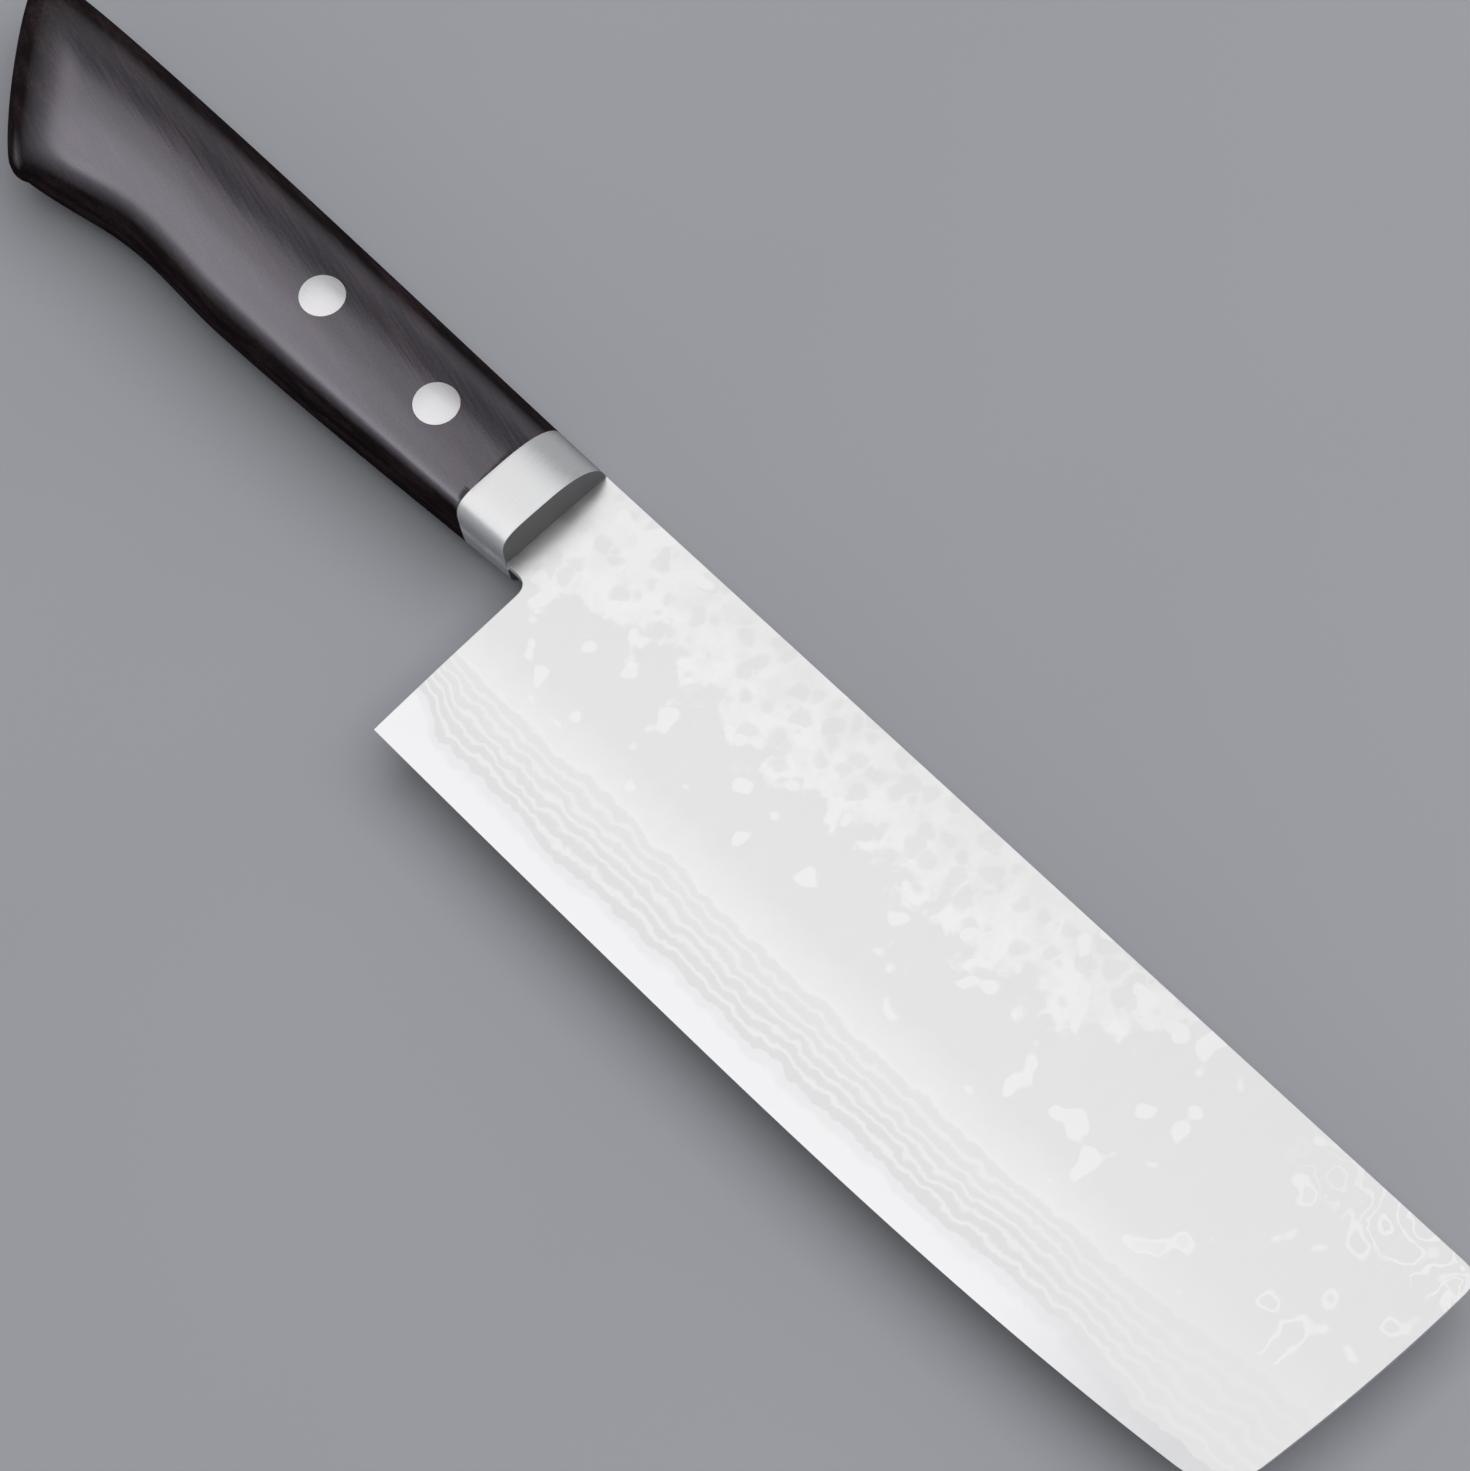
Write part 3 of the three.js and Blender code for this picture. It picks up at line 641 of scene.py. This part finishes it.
def softSpots(tree, x, height, spot, toeRun):
    look = spotLook
    ends = []
    for start, end in (look["tipRun"], look["heelRun"]):
        ends.append(addNode(tree, "ShaderNodeMapRange", {
            "Value": x, "From Min": start, "From Max": end}).outputs["Result"])
    atEnds = addNode(tree, "ShaderNodeMath", {0: ends[0], 1: ends[1]}, operation="MAXIMUM").outputs[0]
    noise = addNode(tree, "ShaderNodeTexNoise", {
        "Vector": spot, "Scale": 1 / look["size"], "Detail": 1.0, "Roughness": 0.45}).outputs["Fac"]
    bumps = addNode(tree, "ShaderNodeMath", {
        0: atEnds, 1: look["endGain"], 2: noise}, operation="MULTIPLY_ADD").outputs[0]
    outer, inner = look["rim"]
    spots = addNode(tree, "ShaderNodeMapRange", {
        "Value": bumps, "From Min": look["cut"] + outer, "From Max": look["cut"] + inner,
        "To Max": look["pale"]}, interpolation_type="SMOOTHSTEP").outputs["Result"]
    outer, inner = look["hollow"]
    hollow = addNode(tree, "ShaderNodeMapRange", {
        "Value": bumps, "From Min": look["cut"] + outer, "From Max": look["cut"] + inner},
        interpolation_type="SMOOTHSTEP").outputs["Result"]
    hollowAtToe = addNode(tree, "ShaderNodeMath", {0: hollow, 1: toeRun}, operation="MULTIPLY").outputs[0]
    rings = addNode(tree, "ShaderNodeMath", {
        0: hollowAtToe, 1: -look["hollowLoss"], 2: spots}, operation="MULTIPLY_ADD").outputs[0]
    low, high = look["heights"]
    aboveLines = addNode(tree, "ShaderNodeMapRange", {
        "Value": height, "From Min": low, "From Max": high}).outputs["Result"]
    return addNode(tree, "ShaderNodeMath", {0: rings, 1: aboveLines}, operation="MULTIPLY").outputs[0]


def tipContours(tree, y, drifted, toeRun):
    look = spotLook
    slow = addNode(tree, "ShaderNodeTexNoise", {
        "Vector": drifted, "Scale": 1 / look["contourSize"], "Detail": 1.0}).outputs["Fac"]
    steps = addNode(tree, "ShaderNodeMath", {
        0: slow, 1: look["contourStep"]}, operation="PINGPONG").outputs[0]
    onContour = addNode(tree, "ShaderNodeMath", {
        0: steps, 1: 0.0, 2: look["contourWidth"]}, operation="COMPARE").outputs[0]
    below, above = look["contourZone"]
    bySpine = addNode(tree, "ShaderNodeMapRange", {
        "Value": y, "From Min": below, "From Max": above}).outputs["Result"]
    tipSpine = addNode(tree, "ShaderNodeMath", {0: bySpine, 1: toeRun}, operation="MULTIPLY").outputs[0]
    return addNode(tree, "ShaderNodeMath", {0: onContour, 1: tipSpine}, operation="MULTIPLY").outputs[0]


def steelColor(tree, level, pale, toeRun):  # the core is palest beside the edge and greyer where it runs out
    look = steelLook
    clad = addNode(tree, "ShaderNodeMix", {
        "Factor": pale, 6: hexColor(look["ground"]), 7: hexColor(look["figure"])},
        data_type="RGBA").outputs[2]
    low, high = (blade["coreBand"] - fade for fade in look["coreTopFade"])
    topShare = addNode(tree, "ShaderNodeMapRange", {
        "Value": level, "From Min": low, "From Max": high}, interpolation_type="SMOOTHSTEP").outputs["Result"]
    coreFace = addNode(tree, "ShaderNodeMix", {
        "Factor": topShare, 6: hexColor(look["core"]), 7: hexColor(look["coreTop"])},
        data_type="RGBA").outputs[2]
    coreColor = addNode(tree, "ShaderNodeMix", {
        "Factor": toeRun, 6: coreFace, 7: hexColor(look["coreToe"])}, data_type="RGBA").outputs[2]
    coreShare = addNode(tree, "ShaderNodeMapRange", {
        "Value": level, "From Min": blade["coreBand"] + look["coreBlend"],
        "From Max": blade["coreBand"] - look["coreBlend"]}).outputs["Result"]
    return addNode(tree, "ShaderNodeMix", {
        "Factor": coreShare, 6: clad, 7: coreColor}, data_type="RGBA").outputs[2]


def steelPolish(tree, spot, pale):  # fine lines across the blade that only change how sharply it reflects
    look = steelLook
    stretch = (1 / look["polishLine"], 1 / look["polishLength"], 1 / look["polishLength"])
    polishSpot = addNode(tree, "ShaderNodeMapping", {"Vector": spot, "Scale": stretch}).outputs["Vector"]
    polish = addNode(tree, "ShaderNodeTexNoise", {
        "Vector": polishSpot, "Scale": 1.0, "Detail": 2.0}).outputs["Fac"]
    polished = addNode(tree, "ShaderNodeMapRange", {
        "Value": polish, "From Min": noiseLow, "From Max": noiseHigh,
        "To Min": look["roughness"] - look["polishSpread"],
        "To Max": look["roughness"] + look["polishSpread"]}).outputs["Result"]
    return addNode(tree, "ShaderNodeMath", {
        0: pale, 1: look["paleRoughness"], 2: polished}, operation="MULTIPLY_ADD").outputs[0]


def layeredSteel():
    material, tree, spot = newMaterial("layered stainless steel, ground and satin polished")
    parts = addNode(tree, "ShaderNodeSeparateXYZ", {"Vector": spot})
    x, y = parts.outputs["X"], parts.outputs["Y"]
    height = heightOverEdge(tree, x, y)
    start, end = steelLook["toeRun"]
    toeRun = addNode(tree, "ShaderNodeMapRange", {
        "Value": x, "From Min": start, "From Max": end}).outputs["Result"]
    drift = addNode(tree, "ShaderNodeTexNoise", {
        "Vector": spot, "Scale": 1 / steelLook["driftSize"], "Detail": 2.0}).outputs["Color"]
    driftBy = addNode(tree, "ShaderNodeVectorMath", {
        0: drift, 1: (0.5, 0.5, 0.5)}, operation="SUBTRACT").outputs[0]
    drifted = addNode(tree, "ShaderNodeVectorMath", {
        0: driftBy, 1: [2 * steelLook["drift"]] * 3, 2: spot}, operation="MULTIPLY_ADD").outputs[0]
    level = layerLevel(tree, x, height, toeRun)
    lines = edgeLines(tree, x, level)
    web, inWeb = spineWeb(tree, x, y, spot, drifted)
    pale = addNode(tree, "ShaderNodeMix", {"Factor": inWeb, 2: lines, 3: web}).outputs[0]
    for mark in (softSpots(tree, x, height, spot, toeRun), tipContours(tree, y, drifted, toeRun)):
        pale = addNode(tree, "ShaderNodeMath", {0: pale, 1: mark}, operation="MAXIMUM").outputs[0]
    shader = addNode(tree, "ShaderNodeBsdfPrincipled", {
        "Base Color": steelColor(tree, level, pale, toeRun), "Metallic": 1.0,
        "Roughness": steelPolish(tree, spot, pale)}).outputs["BSDF"]
    addNode(tree, "ShaderNodeOutputMaterial", {"Surface": shader})
    return material


bladeSteel = layeredSteel()
print("blade steel made")


def edgeAt(x):
    if x < blade["edgeLow"]:
        return blade["heelRise"] * ((blade["edgeLow"] - x) / blade["edgeLow"]) ** 2 - drawing["bladeHeight"]
    past = (x - blade["edgeLow"]) / (blade["length"] - blade["edgeLow"])
    return blade["toeRise"] * past ** 3 - drawing["bladeHeight"]


def tipAt(y):
    return blade["length"] - blade["tipSetback"] * (y / drawing["bladeHeight"]) ** 2


def grindAt(x, y):  # half thickness of the ground blade
    plate = drawing["halfPlate"]
    if x < bolsterFront + near["weld"]:
        return plate
    along = (x - bolsterFront) / (blade["length"] - bolsterFront)
    flat = plate - along * (plate - blade["halfTip"])
    flat += y / drawing["bladeHeight"] * (plate - blade["halfFlatEdge"])
    up = y - edgeAt(x)
    if up < blade["bevelHeight"]:
        widening = blade["halfBevel"] - blade["halfEdge"]
        return blade["halfEdge"] + widening * max(up, 0) / blade["bevelHeight"]
    slope = (blade["halfCore"] - blade["halfBevel"]) / (blade["coreBand"] - blade["bevelHeight"])
    band = blade["halfBevel"] + slope * (up - blade["bevelHeight"])
    share = min(max(0.5 + 0.5 * (flat - band) / blade["blend"], 0), 1)  # the shoulder is blended, not creased
    return flat + (band - flat) * share - blade["blend"] * share * (1 - share)


def roundCorner(start, corner, end):
    points = []
    for k in range(1, blade["cornerSteps"] + 1):
        t = k / blade["cornerSteps"]
        points.append(Vector(start) * (1 - t) ** 2 + Vector(corner) * 2 * t * (1 - t) + Vector(end) * t * t)
    return points


def plateBelly(x):
    return -bellyAt(bolsterFront - x)


def bladeOutline():  # from the spine round the tip, the edge, the heel's notch and the tang
    toeY = edgeAt(blade["length"] - blade["tipSetback"])
    toeX, toe, corner = tipAt(toeY), blade["toeRadius"], blade["spineCorner"]
    lean, notch, neck = blade["heelLean"], blade["notchRadius"], blade["neckHeight"]
    lip, half = bolsterFront - blade["lipSetback"], scale["tangHeight"] / 2
    tangEnd = bolsterRear - scale["tangLength"] + half
    points = [Vector((lip, 0)), Vector((blade["length"] - corner, 0))]
    points += roundCorner((blade["length"] - corner, 0), (blade["length"], 0), (tipAt(-corner), -corner))
    for k in range(1, blade["tipSteps"] + 1):
        y = -corner + (toeY + toe + corner) * k / blade["tipSteps"]
        points.append(Vector((tipAt(y), y)))
    points += roundCorner((tipAt(toeY + toe), toeY + toe), (toeX, toeY), (toeX - toe, edgeAt(toeX - toe)))
    for k in range(1, blade["edgeSteps"] + 1):
        x = (toeX - toe) * (1 - k / blade["edgeSteps"])
        points.append(Vector((x, edgeAt(x))))
    points.append(Vector((-lean, -neck - notch)))
    points += roundCorner((-lean, -neck - notch), (-lean, -neck), (-lean - notch, -neck))
    points += [Vector((lip, -neck)), Vector((lip, plateBelly(lip)))]
    points += [Vector((bolsterRear, plateBelly(bolsterRear))), Vector((bolsterRear, -rivet["drop"] - half))]
    for k in range(blade["tangSteps"] + 1):
        angle = -math.pi / 2 - math.pi * k / blade["tangSteps"]
        points.append(Vector((tangEnd + half * math.cos(angle), -rivet["drop"] + half * math.sin(angle))))
    points += [Vector((bolsterRear, -rivet["drop"] + half)), Vector((bolsterRear, 0))]
    return points


def flushWithBolster(v):  # inside the bolster the plate is ground flush with it
    lip = bolsterFront - blade["lipSetback"]
    if not bolsterRear - near["touch"] < v.co.x < lip + near["touch"]:
        return
    onSpine = v.co.y > -blade["spineTouch"]
    onBelly = v.co.y < plateBelly(v.co.x) + blade["bellyTouch"]
    if not (onSpine or onBelly):
        return
    run = grip["length"] - grip["buttRound"] if onSpine else domePlace
    share = (bolsterFront - v.co.x) / run
    power = spinePowerAt(share * domePlace) if onSpine else bellyPowerAt(share * domePlace)
    turn = math.asin((abs(v.co.z) / halfAt(share * domePlace)) ** (power / 2))
    v.co.y = gripPoint(share, math.pi - turn if onSpine else turn).y


def scoreLine(bm, spot, normal, clear):  # adds a line of edges, and takes off what is below it when asked
    everything = bm.verts[:] + bm.edges[:] + bm.faces[:]
    bmesh.ops.bisect_plane(bm, geom=everything, dist=near["weld"], plane_co=spot, plane_no=normal,
                           clear_inner=clear)


def squareTip(bm, way):  # the leaning tip is stood upright (1) while lines are scored, then leant back (-1)
    for v in bm.verts:
        if v.co.x > 0:
            v.co.x *= (blade["length"] / tipAt(v.co.y)) ** way


def makeLayer(name, node, face):  # face is 0 for the core, 1 and -1 for the claddings
    bm = bmesh.new()
    bm.faces.new([bm.verts.new((p.x, p.y, 0)) for p in bladeOutline()])
    rearEnd = bolsterRear - scale["tangLength"]
    columns = int((blade["length"] - rearEnd) / blade["cell"])
    squareTip(bm, 1)
    for k in range(1, columns):
        scoreLine(bm, (rearEnd + (blade["length"] - rearEnd) * k / columns, 0, 0), (1, 0, 0), False)
    squareTip(bm, -1)
    for v in bm.verts:  # straightened, so that the cuts follow the curved edge
        v.co.y -= edgeAt(v.co.x)
    scoreLine(bm, (0, blade["bevelHeight"], 0), (0, 1, 0), False)
    scoreLine(bm, (0, blade["coreBand"], 0), (0, 1, 0), bool(face))
    for v in bm.verts:  # and now also parallel to the spine
        v.co.y *= drawing["bladeHeight"] / -edgeAt(v.co.x)
    rows = int((drawing["bladeHeight"] - blade["coreBand"]) / blade["cell"])
    for k in range(1, rows):
        up = drawing["bladeHeight"] - blade["cell"] * k
        scoreLine(bm, (0, up, 0), (0, 1, 0), False)
    for v in bm.verts:  # back to the outline's own form
        v.co.y = edgeAt(v.co.x) - v.co.y * edgeAt(v.co.x) / drawing["bladeHeight"]
    grown = bmesh.ops.extrude_face_region(bm, geom=bm.faces[:])["geom"]
    outer = {g for g in grown if isinstance(g, bmesh.types.BMVert)}
    for v in bm.verts:
        surface = grindAt(v.co.x, v.co.y)
        if face:
            inner = min(blade["halfCore"], surface - blade["featherEdge"])
            v.co.z = face * (surface if v in outer else inner)
        else:
            v.co.z = (1 if v in outer else -1) * min(blade["halfCore"], surface)
        flushWithBolster(v)
    bmesh.ops.recalc_face_normals(bm, faces=bm.faces)
    if face:
        ahead, raised = bolsterFront + near["touch"], blade["halfCore"] + blade["easeOver"]
        easeEdges(bm, blade["ease"], 2, lambda e: all(
            v.co.x > ahead and abs(v.co.z) > raised for v in e.verts))
    piece = finishPiece(toObject(name, bm), node, bladeSteel, blade["crease"])
    piece.modifiers.new("evenShading", "WEIGHTED_NORMAL").keep_sharp = True


makeLayer("bladeCore", "blade_core", 0)
makeLayer("rightCladding", "right_cladding", 1)
makeLayer("leftCladding", "left_cladding", -1)


# Studio: a plain grey floor in a room with grey walls and a dimmer ceiling. One soft box lights the steel and
# another the wood, both from the edge side. A soft fill from the spine side lights matt surfaces and casts
# the shadow. Spots are in the drawing's millimetres, and the sizes of the floor and the panels in metres.
studio = {
    "floor": "#a6a8ad", "floorSize": 4.0, "floorCells": 8, "floorRoughness": 0.75,
    "mottleSize": 90.0, "mottleShade": 0.97,
    "keySpot": (-350.0, -650.0, 1000.0), "keySize": (1.5, 2.5), "keyLevel": 0.97,
    "handleSpot": (-830.0, -1210.0, 1000.0), "handleSize": (0.9, 3.0), "handleLevel": 0.87,
    "fillSpot": (450.0, 750.0, 2200.0), "fillSize": (3.2, 3.2), "fillLevel": 1.76,
    "walls": "#adafb2", "ceiling": "#5e5f62", "wallTop": (0.45, 0.75),
}


def makeFloor():  # matt grey with a faint mottle, so that the shadow falls soft on it
    material, tree, spot = newMaterial("matt painted floor")
    mottle = addNode(tree, "ShaderNodeTexNoise", {
        "Vector": spot, "Scale": 1 / studio["mottleSize"], "Detail": 2.0}).outputs["Fac"]
    shade = addNode(tree, "ShaderNodeMapRange", {
        "Value": mottle, "From Min": noiseLow, "From Max": noiseHigh,
        "To Min": studio["mottleShade"], "To Max": 1.0}).outputs["Result"]
    color = addNode(tree, "ShaderNodeMix", {
        "Factor": 1.0, 6: hexColor(studio["floor"]), 7: shade},
        data_type="RGBA", blend_type="MULTIPLY").outputs[2]
    shader = addNode(tree, "ShaderNodeBsdfPrincipled", {
        "Base Color": color, "Roughness": studio["floorRoughness"]}).outputs["BSDF"]
    addNode(tree, "ShaderNodeOutputMaterial", {"Surface": shader})
    bm = bmesh.new()
    cells = studio["floorCells"]
    bmesh.ops.create_grid(bm, x_segments=cells, y_segments=cells, size=studio["floorSize"] / 2)
    floor = toObject("floor", bm)
    floor.data.materials.append(material)
    return floor


def makePanel(name, spot, size, level, inGloss):  # a soft panel that faces straight down
    data = bpy.data.lights.new(name, "AREA")
    data.shape = "RECTANGLE"
    data.size, data.size_y = size
    data.energy = level * math.pi * size[0] * size[1]  # a level of 1 makes the lamp's own face white
    lamp = bpy.data.objects.new(name, data)
    scene.collection.objects.link(lamp)
    lamp.location = toFrame @ Vector(spot)
    lamp.visible_camera = False
    lamp.visible_glossy = inGloss
    return lamp


def linkLight(lamp, pieces, state):  # a lamp lights only these pieces, or all but these
    group = bpy.data.collections.new(lamp.name + "Pieces")
    for piece in pieces:
        group.objects.link(piece)
    for member in group.collection_objects:
        member.light_linking.link_state = state
    lamp.light_linking.receiver_collection = group


def makeWorld():
    world = bpy.data.worlds.new("studio")
    world.use_nodes = True
    scene.world = world
    tree = world.node_tree
    tree.nodes.clear()
    way = addNode(tree, "ShaderNodeTexCoord").outputs["Generated"]
    up = addNode(tree, "ShaderNodeSeparateXYZ", {"Vector": way}).outputs["Z"]
    low, high = studio["wallTop"]
    overWalls = addNode(tree, "ShaderNodeMapRange", {
        "Value": up, "From Min": low, "From Max": high}, interpolation_type="SMOOTHSTEP").outputs["Result"]
    color = addNode(tree, "ShaderNodeMix", {
        "Factor": overWalls, 6: hexColor(studio["walls"]), 7: hexColor(studio["ceiling"])},
        data_type="RGBA").outputs[2]
    room = addNode(tree, "ShaderNodeBackground", {"Color": color, "Strength": 1.0}).outputs[0]
    addNode(tree, "ShaderNodeOutputWorld", {"Surface": room})


floor = makeFloor()
makeWorld()
scales = [piece for piece in scene.objects if piece.name in ("rightScale", "leftScale")]
softBox = makePanel("softBox", studio["keySpot"], studio["keySize"], studio["keyLevel"], True)
linkLight(softBox, scales + [floor], "EXCLUDE")
handleBox = makePanel("handleBox", studio["handleSpot"], studio["handleSize"], studio["handleLevel"], True)
linkLight(handleBox, scales, "INCLUDE")
makePanel("fill", studio["fillSpot"], studio["fillSize"], studio["fillLevel"], False)
print("studio lit")
